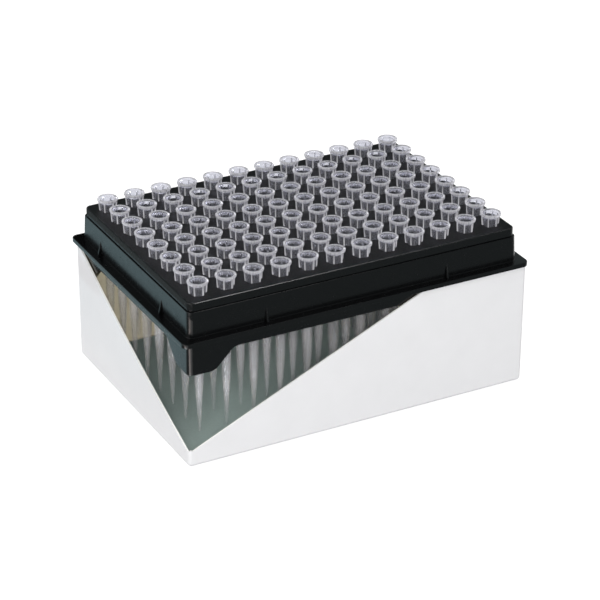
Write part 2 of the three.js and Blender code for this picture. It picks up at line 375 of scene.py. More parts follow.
def cut(piece, cutter):
    """Takes the cutter's shape out of the piece, and removes the cutter."""
    modifier = piece.modifiers.new("Cut", "BOOLEAN")
    modifier.operation = "DIFFERENCE"
    modifier.solver = "EXACT"
    modifier.object = cutter
    bake(piece)
    drop(cutter)


def shade(piece, sharp=SHARP):
    """Shades a piece smooth up to sharp degrees, with its large faces kept flat."""
    for face in piece.data.polygons:
        face.use_smooth = True
    piece.data.set_sharp_from_angle(angle=math.radians(sharp))
    modifier = piece.modifiers.new("Flat faces", "WEIGHTED_NORMAL")
    modifier.keep_sharp = True
    modifier.weight = 100
    bake(piece)


def drop(*templates):
    """Removes objects that only served to build a piece."""
    for template in templates:
        bpy.data.objects.remove(template)


def hand_over(piece, slot, *nodes):
    """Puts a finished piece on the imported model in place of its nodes."""
    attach(piece, "root")
    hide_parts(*nodes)


# Node trees -------------------------------------------------------------------------------


def add_node(tree, kind, inputs=(), **settings):
    """A node with its settings. inputs holds plain values, or sockets to link, under the
    names or numbers of the node's inputs, or as a list in their order."""
    made = tree.nodes.new(kind)
    for key, value in settings.items():
        setattr(made, key, value)
    for key, value in inputs.items() if isinstance(inputs, dict) else enumerate(inputs):
        if isinstance(value, bpy.types.NodeSocket):
            tree.links.new(value, made.inputs[key])
        else:
            made.inputs[key].default_value = value
    return made


def shape_tree(name, sockets):
    """An empty Geometry Nodes tree with a geometry in and out and the named inputs."""
    tree = bpy.data.node_groups.new(name, "GeometryNodeTree")
    tree.interface.new_socket("Geometry", in_out="INPUT", socket_type="NodeSocketGeometry")
    for socket, kind in sockets.items():
        tree.interface.new_socket(socket, in_out="INPUT", socket_type=f"NodeSocket{kind}")
    tree.interface.new_socket("Geometry", in_out="OUTPUT", socket_type="NodeSocketGeometry")
    return tree, tree.nodes.new("NodeGroupInput").outputs


def grow(piece, tree, values):
    """Runs a tree on a piece with the values of its named inputs, and keeps a plain mesh."""
    modifier = piece.modifiers.new(tree.name, "NODES")
    modifier.node_group = tree
    for item in tree.interface.items_tree:
        if item.in_out == "INPUT" and item.name in values:
            modifier[item.identifier] = values[item.name]
    bake(piece)


def tip_grid_points(tree, values):
    """The points where the tips stand, as a grid round the middle."""

    def span(count):
        less = add_node(tree, "ShaderNodeMath", [values[count], 1.0], operation="SUBTRACT")
        by_pitch = [less.outputs[0], values["Pitch"]]
        return add_node(tree, "ShaderNodeMath", by_pitch, operation="MULTIPLY").outputs[0]

    inputs = {
        "Size X": span("Columns"),
        "Size Y": span("Rows"),
        "Vertices X": values["Columns"],
        "Vertices Y": values["Rows"],
    }
    return add_node(tree, "GeometryNodeMeshGrid", inputs).outputs["Mesh"]


FLAT = 0.999  # the least upward part of a face's normal on the deck's flat top


def perforation_tree():
    """Punches the grid of round holes through a deck, and gives its flat top its grain."""
    sockets = {
        "Columns": "Int",
        "Rows": "Int",
        "Pitch": "Float",
        "Hole Radius": "Float",
        "Hole Depth": "Float",
        "Hole Height": "Float",
        "Plastic": "Material",
        "Grained Plastic": "Material",
    }
    tree, values = shape_tree("Deck perforations", sockets)
    size = {"Radius": values["Hole Radius"], "Depth": values["Hole Depth"], "Vertices": HOLE_SIDES}
    punch = add_node(tree, "GeometryNodeMeshCylinder", size)
    holes = {"Points": tip_grid_points(tree, values), "Instance": punch.outputs["Mesh"]}
    punches = add_node(tree, "GeometryNodeInstanceOnPoints", holes)
    real = add_node(tree, "GeometryNodeRealizeInstances", [punches.outputs[0]])
    lift = add_node(tree, "ShaderNodeCombineXYZ", {"Z": values["Hole Height"]})
    lifted = {"Geometry": real.outputs[0], "Translation": lift.outputs[0]}
    placed = add_node(tree, "GeometryNodeTransform", lifted)
    parts = {"Mesh 1": values["Geometry"], "Mesh 2": placed.outputs[0]}
    punched = add_node(
        tree, "GeometryNodeMeshBoolean", parts, operation="DIFFERENCE", solver="EXACT"
    )
    painted = {"Geometry": punched.outputs[0], "Material": values["Plastic"]}
    smooth = add_node(tree, "GeometryNodeSetMaterial", painted)
    normal = add_node(tree, "GeometryNodeInputNormal")
    upward = add_node(tree, "ShaderNodeSeparateXYZ", [normal.outputs[0]]).outputs["Z"]
    flat = add_node(tree, "ShaderNodeMath", [upward, FLAT], operation="GREATER_THAN")
    top = {
        "Geometry": smooth.outputs[0],
        "Selection": flat.outputs[0],
        "Material": values["Grained Plastic"],
    }
    grained = add_node(tree, "GeometryNodeSetMaterial", top)
    add_node(tree, "NodeGroupOutput", [grained.outputs[0]])
    return tree


def tip_milkiness(tree, tube, rim_height):
    """How milky a tip's plastic is at each vertex, from 0 to 1: most in the shaft and at the ribs'
    feet, where the extra white is a painted highlight, less along the ribs and round the rim, and
    least inside the tube."""
    place = add_node(tree, "GeometryNodeInputPosition").outputs[0]
    height = add_node(tree, "ShaderNodeSeparateXYZ", [place]).outputs["Z"]
    level = [place, (1, 1, 0)]
    outward = add_node(tree, "ShaderNodeVectorMath", level, operation="MULTIPLY").outputs[0]
    reach = add_node(tree, "ShaderNodeVectorMath", [outward], operation="LENGTH")
    normal = add_node(tree, "GeometryNodeInputNormal").outputs[0]
    facing = add_node(tree, "ShaderNodeVectorMath", [outward, normal], operation="DOT_PRODUCT")
    inward = [facing.outputs["Value"], 0.0]
    inner = add_node(tree, "ShaderNodeMath", inward, operation="LESS_THAN").outputs[0]

    # Places that follow from a size, as the size times a factor and a bit more
    places = {
        "under rim": [rim_height, -1.0, -0.3 * MM],
        "tube": [tube, 1.0, 0.06 * MM],
        "rib": [tube, 1.0, 0.25 * MM],
    }
    for key, parts in places.items():
        whole = add_node(tree, "ShaderNodeMath", parts, operation="MULTIPLY_ADD")
        places[key] = whole.outputs[0]

    # What is graded, from where to where, and how milky it is at both ends
    grades = {
        "outside": [height, places["under rim"], 0.0, 0.11, 0.38],
        "inside": [height, -0.3 * MM, 0.0, 0.0, 0.35],
        # Painted highlight: the ribs turn whiter towards their feet on the deck
        "foot": [height, -3.9 * MM, -2.6 * MM, 1.0, 0.55],
        "shaft": [height, -7.0 * MM, -4.0 * MM, 1.0, 0.0],
    }
    for key, ends in grades.items():
        grades[key] = add_node(tree, "ShaderNodeMapRange", ends).outputs[0]
    across = [reach.outputs["Value"], places["tube"], places["rib"], 0.0, grades["foot"]]
    rib = add_node(tree, "ShaderNodeMapRange", across).outputs[0]

    sides = {"Factor": inner, 2: grades["outside"], 3: grades["inside"]}
    milky = add_node(tree, "ShaderNodeMix", sides).outputs[0]
    for part in (rib, grades["shaft"]):
        milky = add_node(tree, "ShaderNodeMath", [milky, part], operation="MAXIMUM").outputs[0]
    return milky


def tip_tree():
    """Sets the ribs round a bare tip, and stands a tip in every hole of the deck."""
    sockets = {
        "Columns": "Int",
        "Rows": "Int",
        "Pitch": "Float",
        "Height": "Float",
        "Tip": "Object",
        "Rib": "Object",
        "Ribs": "Int",
        "First Rib": "Float",
        "Lean": "Float",
        "Spin": "Float",
        "Seed": "Int",
        "Tube": "Float",
        "Rim Height": "Float",
        "Plastic": "Material",
    }
    tree, values = shape_tree("Ribbed tips", sockets)
    bare = add_node(tree, "GeometryNodeObjectInfo", {"Object": values["Tip"]})
    rib = add_node(tree, "GeometryNodeObjectInfo", {"Object": values["Rib"]})
    round_way = add_node(tree, "GeometryNodePoints", {"Count": values["Ribs"]})
    index = add_node(tree, "GeometryNodeInputIndex")
    of_all = [index.outputs[0], values["Ribs"]]
    share = add_node(tree, "ShaderNodeMath", of_all, operation="DIVIDE")
    turned = [share.outputs[0], 2 * math.pi, values["First Rib"]]
    angle = add_node(tree, "ShaderNodeMath", turned, operation="MULTIPLY_ADD")
    facing = add_node(tree, "ShaderNodeCombineXYZ", {"Z": angle.outputs[0]})
    set_round = {
        "Points": round_way.outputs[0],
        "Instance": rib.outputs["Geometry"],
        "Rotation": facing.outputs[0],
    }
    ribs = add_node(tree, "GeometryNodeInstanceOnPoints", set_round)
    real_ribs = add_node(tree, "GeometryNodeRealizeInstances", [ribs.outputs[0]])
    ribbed = add_node(tree, "GeometryNodeMeshBoolean", operation="UNION", solver="EXACT")
    for part in (bare.outputs["Geometry"], real_ribs.outputs[0]):
        tree.links.new(part, ribbed.inputs["Mesh 2"])
    marked = {
        "Geometry": ribbed.outputs[0],
        "Name": "milky",
        "Value": tip_milkiness(tree, values["Tube"], values["Rim Height"]),
    }
    tip = add_node(tree, "GeometryNodeStoreNamedAttribute", marked, data_type="FLOAT")

    # Each tip leans and is turned at random, by up to so much either way
    turns = [values["Lean"], values["Lean"], values["Spin"]]
    most = add_node(tree, "ShaderNodeCombineXYZ", turns).outputs[0]
    back = {0: most, "Scale": -1.0}
    least = add_node(tree, "ShaderNodeVectorMath", back, operation="SCALE").outputs[0]
    lean = add_node(tree, "FunctionNodeRandomValue", data_type="FLOAT_VECTOR")
    ends = [socket for socket in lean.inputs if socket.type == "VECTOR"]
    tree.links.new(least, ends[0])
    tree.links.new(most, ends[1])
    tree.links.new(values["Seed"], lean.inputs["Seed"])
    in_holes = {
        "Points": tip_grid_points(tree, values),
        "Instance": tip.outputs[0],
        "Rotation": lean.outputs[0],
    }
    tips = add_node(tree, "GeometryNodeInstanceOnPoints", in_holes)
    real = add_node(tree, "GeometryNodeRealizeInstances", [tips.outputs[0]])
    lift = add_node(tree, "ShaderNodeCombineXYZ", {"Z": values["Height"]})
    lifted = {"Geometry": real.outputs[0], "Translation": lift.outputs[0]}
    placed = add_node(tree, "GeometryNodeTransform", lifted)
    finished = {"Geometry": placed.outputs[0], "Material": values["Plastic"]}
    done = add_node(tree, "GeometryNodeSetMaterial", finished)
    add_node(tree, "NodeGroupOutput", [done.outputs[0]])
    return tree


def fin_tree():
    """Adds a fin to the frame at each marked point, turned as the point says."""
    sockets = {"Points": "Object", "Fin": "Object", "Plastic": "Material"}
    tree, values = shape_tree("Frame fins", sockets)
    marks = add_node(tree, "GeometryNodeObjectInfo", {"Object": values["Points"]})
    fin = add_node(tree, "GeometryNodeObjectInfo", {"Object": values["Fin"]})
    facing = add_node(tree, "GeometryNodeInputNamedAttribute", {"Name": "turn"})
    rotation = add_node(tree, "ShaderNodeCombineXYZ", {"Z": facing.outputs[0]})
    set_out = {
        "Points": marks.outputs["Geometry"],
        "Instance": fin.outputs["Geometry"],
        "Rotation": rotation.outputs[0],
    }
    fins = add_node(tree, "GeometryNodeInstanceOnPoints", set_out)
    real = add_node(tree, "GeometryNodeRealizeInstances", [fins.outputs[0]])
    whole = add_node(tree, "GeometryNodeJoinGeometry")
    for part in (values["Geometry"], real.outputs[0]):
        tree.links.new(part, whole.inputs[0])
    finished = {"Geometry": whole.outputs[0], "Material": values["Plastic"]}
    done = add_node(tree, "GeometryNodeSetMaterial", finished)
    add_node(tree, "NodeGroupOutput", [done.outputs[0]])
    return tree


# Materials --------------------------------------------------------------------------------

# Nearly all of a noise lies between these two
NOISE_LOW = 0.3
NOISE_HIGH = 0.7


def plain(name, uniform):
    """A material with a Principled BSDF and the values that are the same all over it."""
    made = bpy.data.materials.new(name)
    made.use_nodes = True
    tree = made.node_tree
    shader = tree.nodes["Principled BSDF"]
    for socket, value in uniform.items():
        shader.inputs[socket].default_value = value
    place = add_node(tree, "ShaderNodeTexCoord").outputs["Object"]
    return made, tree, shader, place


def tint(rgb, factor):
    """A colour made darker or lighter by a factor, for a colour input."""
    return (*(min(1.0, c * factor) for c in rgb), 1)


def mottled(name, rgb, uniform, noises, shades, relief, dull=None):
    """A material that varies over the piece. noises gives each noise the size of its spots in
    metres, its detail and its roughness. shades are (noise, darkest, lightest) factors of the
    colour, mixed evenly. relief is (noise, depth in metres, strength), and dull is
    (noise, least, most) of the surface's roughness."""
    made, tree, shader, place = plain(name, uniform)
    fields = {}
    for key, (size, detail, roughness) in noises.items():
        inputs = {"Vector": place, "Scale": 1 / size, "Detail": detail, "Roughness": roughness}
        fields[key] = add_node(tree, "ShaderNodeTexNoise", inputs).outputs["Fac"]

    mixed = None
    for key, darkest, lightest in shades:
        ends = [fields[key], NOISE_LOW, NOISE_HIGH, 0.0, 1.0]
        share = add_node(tree, "ShaderNodeMapRange", ends).outputs[0]
        pair = {"Factor": share, 6: tint(rgb, darkest), 7: tint(rgb, lightest)}
        toned = add_node(tree, "ShaderNodeMix", pair, data_type="RGBA").outputs[2]
        if mixed:
            even = {"Factor": 0.5, 6: mixed, 7: toned}
            toned = add_node(tree, "ShaderNodeMix", even, data_type="RGBA").outputs[2]
        mixed = toned
    tree.links.new(mixed, shader.inputs["Base Color"])

    if dull:
        key, least, most = dull
        ends = [fields[key], NOISE_LOW, NOISE_HIGH, least, most]
        rough = add_node(tree, "ShaderNodeMapRange", ends).outputs[0]
        tree.links.new(rough, shader.inputs["Roughness"])
    key, depth, strength = relief
    inputs = {"Height": fields[key], "Distance": depth, "Strength": strength}
    raised = add_node(tree, "ShaderNodeBump", inputs).outputs["Normal"]
    tree.links.new(raised, shader.inputs["Normal"])
    return made


def coated_board(rgb):
    """Clay-coated white folding board, calendered: even and softly shiny, with the faint
    cloudy mottling of the coat and a relief of felt marks half a millimetre across."""
    return mottled(
        "coated_white_board",
        rgb,
        {"IOR": 1.5, "Specular IOR Level": 0.2},
        {"cloud": (9 * MM, 3.0, 0.5), "felt": (0.5 * MM, 3.0, 0.5)},
        shades=[("cloud", 0.985, 1.01)],
        dull=("felt", 0.36, 0.46),
        relief=("felt", 0.012 * MM, 0.6),
    )


def grey_board(name, rgb, glow):
    """Uncoated back of recycled board: matt, with short fibres and dark specks under a
    millimetre long, drawn a little coarser than they are so that they show. A thin wall
    glows a little from the light on its other side."""
    uniform = {
        "IOR": 1.45,
        "Roughness": 0.85,
        "Subsurface Weight": glow,
        "Subsurface Radius": (1.0, 0.95, 0.8),
        "Subsurface Scale": 5 * MM,
    }
    return mottled(
        name,
        rgb,
        uniform,
        {"fibre": (0.7 * MM, 4.0, 0.65), "cloud": (12 * MM, 2.0, 0.5)},
        shades=[("cloud", 0.93, 1.06), ("fibre", 0.86, 1.08)],
        relief=("fibre", 0.03 * MM, 0.7),
    )


def cut_board(rgb):
    """Die-cut edge of the board: bright, matt, with crushed fibres a tenth of a millimetre
    thick, drawn twice as coarse."""
    return mottled(
        "cut_board_fibres",
        rgb,
        {"IOR": 1.45, "Roughness": 0.9},
        {"fibre": (0.2 * MM, 2.0, 0.5)},
        shades=[("fibre", 0.9, 1.05)],
        relief=("fibre", 0.04 * MM, 0.8),
    )


def moulded_black(rgb):
    """Black ABS from a polished mould: glossy, with a long low waviness from sink and fine
    rubbing marks that dull it in places."""
    return mottled(
        "moulded_black_gloss",
        rgb,
        {"IOR": 1.5},
        {"wave": (14 * MM, 1.0, 0.5), "rub": (1.6 * MM, 3.0, 0.5)},
        shades=[("rub", 0.92, 1.08)],
        dull=("rub", 0.2, 0.28),
        relief=("wave", 0.04 * MM, 0.5),
    )


def grained_black(rgb):
    """Black ABS from a spark-eroded mould: a fine matt grain about 0.3 mm across, drawn
    slightly coarser than real, which scatters the light to a dark grey."""
    return mottled(
        "moulded_black_grained",
        rgb,
        {"IOR": 1.5, "Specular IOR Level": 0.15},
        {"pit": (0.45 * MM, 2.0, 0.5), "cloud": (6 * MM, 2.0, 0.5)},
        shades=[("cloud", 0.85, 1.15)],
        dull=("pit", 0.42, 0.55),
        relief=("pit", 0.03 * MM, 0.6),
    )


def natural_polypropylene(thin, thick, deck_z):
    """Undyed polypropylene, injection moulded: milky white where it is thick, as at the rim
    and along the ribs, nearly clear in the thin tube, with a soft shine and flow lines down
    its length. A surface that is met from behind is clear, which leaves the bores dark."""
    made, tree, shader, place = plain("natural_polypropylene", {"IOR": 1.49})
    height = add_node(tree, "ShaderNodeSeparateXYZ", [place]).outputs["Z"]
    drawn = add_node(tree, "ShaderNodeMapping", {"Vector": place, "Scale": (1, 1, 0.02)})
    lines = {
        "Vector": drawn.outputs[0],
        "Scale": 1 / (0.4 * MM),
        "Detail": 3.0,
        "Roughness": 0.6,
    }
    flow = add_node(tree, "ShaderNodeTexNoise", lines).outputs["Fac"]
    raised = {"Height": flow, "Distance": 0.03 * MM, "Strength": 0.7}
    relief = add_node(tree, "ShaderNodeBump", raised).outputs["Normal"]
    shine = [flow, NOISE_LOW, NOISE_HIGH, 0.08, 0.18]
    rough = add_node(tree, "ShaderNodeMapRange", shine).outputs[0]

    # Milkiness, as stored on the tip, streaked along the flow lines
    tip = {"attribute_name": "milky", "attribute_type": "GEOMETRY"}
    stored = add_node(tree, "ShaderNodeAttribute", **tip).outputs["Fac"]
    behind = add_node(tree, "ShaderNodeNewGeometry").outputs["Backfacing"]
    milky = add_node(tree, "ShaderNodeMapRange", [behind, 0.0, 1.0, stored, 0.0]).outputs[0]
    pair = {"Factor": milky, 6: (*thin, 1), 7: (*thick, 1)}
    body = add_node(tree, "ShaderNodeMix", pair, data_type="RGBA").outputs[2]
    streaked = [flow, NOISE_LOW, NOISE_HIGH, 0.5, 1.3]
    streaks = add_node(tree, "ShaderNodeMapRange", streaked).outputs[0]
    cloudy = add_node(tree, "ShaderNodeMath", [milky, streaks], operation="MULTIPLY").outputs[0]
    clear = add_node(tree, "ShaderNodeMapRange", [cloudy, 0.0, 1.0, 0.98, 0.1]).outputs[0]

    # Below the deck the wall thins towards the point, and what is behind a tip shows through
    # it, more where it is seen square on and in patches
    thinned = [height, 0.0, deck_z - 33 * MM, 0.0, 0.24]
    least = add_node(tree, "ShaderNodeMapRange", thinned).outputs[0]
    spots = {"Vector": place, "Scale": 1 / (14 * MM)}
    patches = add_node(tree, "ShaderNodeTexNoise", spots).outputs["Fac"]
    uneven = [patches, NOISE_LOW, NOISE_HIGH, 0.35, 1.65]
    share = add_node(tree, "ShaderNodeMapRange", uneven).outputs[0]
    least = add_node(tree, "ShaderNodeMath", [least, share], operation="MULTIPLY").outputs[0]
    slant = add_node(tree, "ShaderNodeLayerWeight", {"Blend": 0.4}).outputs["Facing"]
    edged = [slant, 0.0, 1.0, least, 0.27]
    through = add_node(tree, "ShaderNodeMapRange", edged).outputs[0]
    under = [height, deck_z - 4 * MM, deck_z, through, 1.0]
    seen = add_node(tree, "ShaderNodeMapRange", under).outputs[0]

    # Light on its way to what lies behind mostly passes
    ray = add_node(tree, "ShaderNodeLightPath").outputs
    onward = [ray["Is Shadow Ray"], ray["Is Diffuse Ray"]]
    lighting = add_node(tree, "ShaderNodeMath", onward, operation="MAXIMUM").outputs[0]
    solid = add_node(tree, "ShaderNodeMapRange", [lighting, 0.0, 1.0, seen, 0.1]).outputs[0]

    for socket, value in {
        "Base Color": body,
        "Transmission Weight": clear,
        "Alpha": solid,
        "Roughness": rough,
        "Normal": relief,
    }.items():
        tree.links.new(value, shader.inputs[socket])
    return made


# Carton -----------------------------------------------------------------------------------


def window_heights(values, wall_half, sag, samples):
    """The cut edge's (place along the wall, height) pairs, from the low corner up, along a
    curve that dips by sag below a straight line."""
    top = CARTON_HIGH.z
    start = -wall_half + values.fold
    run = (top - values.sill) / math.tan(values.slant)
    middle = (values.sill + top) / 2 - 2 * sag
    pairs = []
    for i in range(1, samples + 1):
        share = i / samples
        height = (1 - share) ** 2 * values.sill + 2 * share * (1 - share) * middle
        pairs.append((start + share * run, height + share**2 * top))
    return pairs


def carton_mesh(values):
    """The folded board, up its outside, over the cut edge and down its inside."""
    half = ((CARTON_HIGH.x - CARTON_LOW.x) / 2, CARTON_HIGH.y)
    middle = (CARTON_HIGH.x + CARTON_LOW.x) / 2
    top = CARTON_HIGH.z
    front = window_heights(values, half[0], 0, FRONT_CUT_STEPS)
    straight_end = half[1] - values.fold
    rising = window_heights(values, half[1], values.sag, END_CUT_STEPS)
    left = [(place, height) for place, height in rising if place < straight_end]
    corners = [(top, top), (top, top), (top, left[-1][1]), (values.sill, values.sill)]
    stations = round_stations(front, [], [], left, corners, CARTON_CORNER_STEPS)

    # The board tore a little where the two cuts meet
    tears = random.Random(TORN_SEED)
    low = values.sill + values.fold
    for i, station in enumerate(stations):
        if station.height < low:
            tear = tears.uniform(-0.5, 1) * values.torn
            stations[i] = station._replace(height=station.height + tear)

    def wall(inset, radius, z=None):
        size = (half[0] - inset, half[1] - inset)
        return ring(stations, size, radius, z, middle)

    fold = values.fold
    inner_fold = fold - values.board
    turns = [math.pi / 2 * i / FOLD_STEPS for i in range(FOLD_STEPS + 1)]
    least = 0.15 * MM
    outside = [
        wall(fold * (1 - math.sin(a)), max(fold * math.sin(a), least), fold * (1 - math.cos(a)))
        for a in turns
    ]
    inside = [
        wall(
            values.board + inner_fold * (1 - math.sin(a)),
            max(inner_fold * math.sin(a), least),
            values.board + inner_fold * (1 - math.cos(a)),
        )
        for a in turns[::-1]
    ]
    edge = [wall(0, fold), wall(values.board, inner_fold)]

    # The bands' finishes: coated face, uncoated walls, cut edge and uncoated floor
    finishes = [0] * len(outside) + [2] + [1] * (len(inside) - 1) + [3]
    return skin("carton", outside + edge + inside, finishes=finishes)


class BuildCarton(bpy.types.Operator):
    """Build the folded board carton with its corner window"""

    bl_idname = "tip_box.carton"
    bl_label = "Carton"

    def execute(self, context):
        values = context.scene.tip_box_carton
        carton = put(
            "carton_board",
            carton_mesh(values),
            coated_board(values.face),
            # Both uncoated backs are one board, and their two colours are painted light
            grey_board("uncoated_wall_board_painted_light", values.back, 1.0),
            cut_board(values.edge),
            grey_board("uncoated_bottom_board_painted_light", values.floor, 0.0),
        )
        # The flaps under the bottom meet along its middle, and the wall panels are glued at
        # the back right corner, where the cut edge of one shows beside the fold.
        board = values.board
        half_seam = values.seam / 2
        inset = 4 * values.fold
        glued = CARTON_HIGH.x - values.fold
        seams = {
            "bottom_seam": (
                (CARTON_LOW.x + inset, -half_seam, -board),
                (CARTON_HIGH.x - inset, half_seam, board / 2),
            ),
            "glued_seam": (
                (glued - values.seam, CARTON_HIGH.y - board / 3, 2 * values.fold),
                (glued, CARTON_HIGH.y + board, CARTON_HIGH.z + board),
            ),
        }
        for name, (low, high) in seams.items():
            cut(carton, put(name, block(name, low, high)))
        shade(carton)
        hand_over(carton, "carton_board", "carton")
        return {"FINISHED"}


# Rack frame -------------------------------------------------------------------------------


def bend(start, control, end, samples):
    """Points on a curve from start towards control and round to end, both ends included."""
    points = []
    for i in range(samples + 1):
        t = i / samples
        weights = ((1 - t) ** 2, 2 * t * (1 - t), t**2)
        corners = zip(start, control, end)
        points.append(tuple(sum(w * c for w, c in zip(weights, row)) for row in corners))
    return points


def leg_edge(values, half):
    """The skirt's lower edge as (distance from the middle, height), from a leg's foot in."""
    foot = FRAME_LOW.z
    ceiling = CARTON_HIGH.z - values.skirt_depth
    corner = half - values.leg_width
    along = math.cos(values.leg_slope)
    up = math.sin(values.leg_slope)
    top = corner - (ceiling - foot) / math.tan(values.leg_slope)
    rounding = values.leg_round
    fillet = values.leg_fillet
    lower = bend(
        (corner + rounding, foot),
        (corner, foot),
        (corner - rounding * along, foot + rounding * up),
        LEG_STEPS,
    )
    upper = bend(
        (top + fillet * along, ceiling - fillet * up),
        (top, ceiling),
        (top - fillet, ceiling),
        LEG_STEPS,
    )
    return lower + upper


def frame_mesh(values):
    """The frame as one closed skin: up the skirt and the wall, and down inside them."""
    foot = FRAME_LOW.z
    flange_low = CARTON_HIGH.z
    flange_high = flange_low + values.flange
    wall_top = FRAME_HIGH.z
    outer = (FRAME_HIGH.x, FRAME_HIGH.y)

    def inside_of(size, x, y=None):
        return (size[0] - x, size[1] - (x if y is None else y))

    skirt = inside_of(outer, values.skirt_end, values.skirt_side)
    skirt_inner = inside_of(skirt, values.skirt)
    wall_foot = inside_of(outer, values.reach)
    wall_head = inside_of(wall_foot, values.draft)
    wall_inner = inside_of(wall_head, values.wall)

    def both_ways(edge):
        return [(-s, z) for s, z in edge] + [(s, z) for s, z in edge[::-1]]

    long_edge = both_ways(leg_edge(values, skirt[0]))
    short_edge = both_ways(leg_edge(values, skirt[1]))
    edges = (long_edge, short_edge, long_edge, short_edge)
    stations = round_stations(*edges, [(foot, foot)] * 4, MOULDED_CORNER_STEPS)
    rings = [
        ring(stations, skirt, values.skirt_corner),
        ring(stations, skirt, values.skirt_corner, flange_low),
        ring(stations, outer, values.corner, flange_low),
        ring(stations, outer, values.corner, flange_high),
        ring(stations, wall_foot, values.corner, flange_high),
        ring(stations, wall_head, values.corner, wall_top),
        ring(stations, wall_inner, values.inner_corner, wall_top),
        ring(stations, wall_inner, values.inner_corner, flange_low),
        ring(stations, skirt_inner, values.inner_corner, flange_low),
        ring(stations, skirt_inner, values.inner_corner),
    ]
    return skin("rack_frame", rings, closed=True)


def fin_mesh(values):
    """A fin on the flange against a wall that faces +X, its foot at the origin."""
    root = -values.wall / 2
    half = values.fin_width / 2
    rings = [
        rectangle((root, -half), (values.fin_reach, half), -values.flange / 2),
        rectangle((root, -half), (values.fin_reach, half), 0),
        rectangle((root, -half / 2), (-values.draft / 2, half / 2), values.fin_height),
    ]
    return skin("fin", rings)


def fin_points(values):
    """A point at the foot of each fin, with the way that it faces."""
    wall = (FRAME_HIGH.x - values.reach, FRAME_HIGH.y - values.reach)
    foot = CARTON_HIGH.z + values.flange
    places = []
    for x in (-values.fin_long, values.fin_long):
        places.append(((x, -wall[1], foot), -math.pi / 2))
        places.append(((x, wall[1], foot), math.pi / 2))
    for y in (values.fin_left, values.fin_right):
        places.append(((-wall[0], y, foot), math.pi))
        places.append(((wall[0], y, foot), 0.0))
    mesh = bpy.data.meshes.new("fin_points")
    mesh.from_pydata([place for place, _ in places], [], [])
    facing = mesh.attributes.new("turn", "FLOAT", "POINT")
    facing.data.foreach_set("value", [angle for _, angle in places])
    return mesh


class BuildFrame(bpy.types.Operator):
    """Build the moulded rack frame with its flange, skirt, legs and fins"""

    bl_idname = "tip_box.frame"
    bl_label = "Rack frame"

    def execute(self, context):
        values = context.scene.tip_box_frame
        black = moulded_black(values.black)
        rack = put("rack_frame_moulding", frame_mesh(values), black)
        bevel(rack, values.bevel)
        fin = put("fin", fin_mesh(values), black)
        bevel(fin, values.bevel)
        points = put("fin_points", fin_points(values))
        grow(rack, fin_tree(), {"Points": points, "Fin": fin, "Plastic": black})
        shade(rack)
        drop(fin, points)
        hand_over(rack, "rack_plastic", "rack_frame")
        return {"FINISHED"}


# Deck -------------------------------------------------------------------------------------


def deck_mesh(values):
    """The deck before its holes, from its underside round the lip and up to its top."""
    low = FRAME_HIGH.z
    top = low + values.height
    outer = (DECK_HIGH.x, DECK_HIGH.y)
    ledge = low + values.groove_height
    lip_corner = 0.4 * MM
    stations = round_stations([], [], [], [], [(0, 0)] * 4, MOULDED_CORNER_STEPS)

    def level(inset, radius, z):
        return ring(stations, (outer[0] - inset, outer[1] - inset), radius, z)

    ceiling = level(values.lip_inset + values.lip, lip_corner, top - values.plate)
    rings = [
        ceiling,
        level(values.lip_inset + values.lip, lip_corner, low - values.lip_depth),
        level(values.lip_inset, lip_corner, low - values.lip_depth),
        level(values.lip_inset, lip_corner, low),
        level(values.groove, values.corner - values.groove, low),
        level(values.groove, values.corner - values.groove, ledge),
        level(0, values.corner, ledge),
    ]
    for i in range(DECK_EDGE_STEPS + 1):
        angle = math.pi / 2 * i / DECK_EDGE_STEPS
        inset = values.edge * (1 - math.cos(angle))
        z = top - values.edge * (1 - math.sin(angle))
        rings.append(level(inset, values.corner - inset, z))
    return skin("deck", rings)


class BuildDeck(bpy.types.Operator):
    """Build the punched deck with its rounded edge and its lip"""

    bl_idname = "tip_box.deck"
    bl_label = "Deck"

    def execute(self, context):
        values = context.scene.tip_box_deck
        tips = context.scene.tip_box_tips
        black = moulded_black(values.black)
        grained = grained_black(values.grained)
        deck = put("tip_deck_moulding", deck_mesh(values), black)
        top = FRAME_HIGH.z + values.height
        inputs = {
            "Columns": tips.columns,
            "Rows": tips.rows,
            "Pitch": tips.pitch,
            "Hole Radius": values.hole,
            "Hole Depth": 2 * values.plate,
            "Hole Height": top - values.plate / 2,
            "Plastic": black,
            "Grained Plastic": grained,
        }
        grow(deck, perforation_tree(), inputs)
        shade(deck, SHARP_ON_DECK)
        hand_over(deck, "rack_plastic", "tip_deck")
        return {"FINISHED"}


# Tips -------------------------------------------------------------------------------------


def tip_profile(values):
    """A tip's outline as (radius, height) pairs, up the bore and down the outside."""
    long = TIP_HIGH.z - TIP_LOW.z
    wall = 0.36 * MM
    nose_wall = 0.2 * MM
    end_wall = 0.14 * MM
    soft = 0.2 * MM
    deck = 4 * MM
    under_rim = -values.rim_height
    bore = [
        (values.orifice - end_wall, -long),
        (values.nose - nose_wall, values.nose_length - long),
        (values.shaft - wall, values.point - long),
        (values.throat - 0.1 * MM, -deck),
        (values.throat, -1.5 * MM),
        (values.mouth - 0.08 * MM, -0.2 * MM),
        (values.mouth + 0.1 * MM, 0),
    ]
    rim = [
        (values.rim - soft, 0),
        (values.rim - 0.06 * MM, -0.06 * MM),
        (values.rim, -soft),
        (values.rim - 0.02 * MM, under_rim + soft),
        (values.rim - 0.12 * MM, under_rim),
    ]
    outside = [
        (values.tube + 0.25 * MM, under_rim - 0.3 * MM),
        (values.tube, under_rim - 0.8 * MM),
        (values.tube - 0.03 * MM, -deck),
        (values.tube - 0.3 * MM, -2 * deck),
        (values.shaft, values.point - long),
        (values.nose, values.nose_length - long),
        (values.orifice, -long),
    ]
    return bore + rim + outside


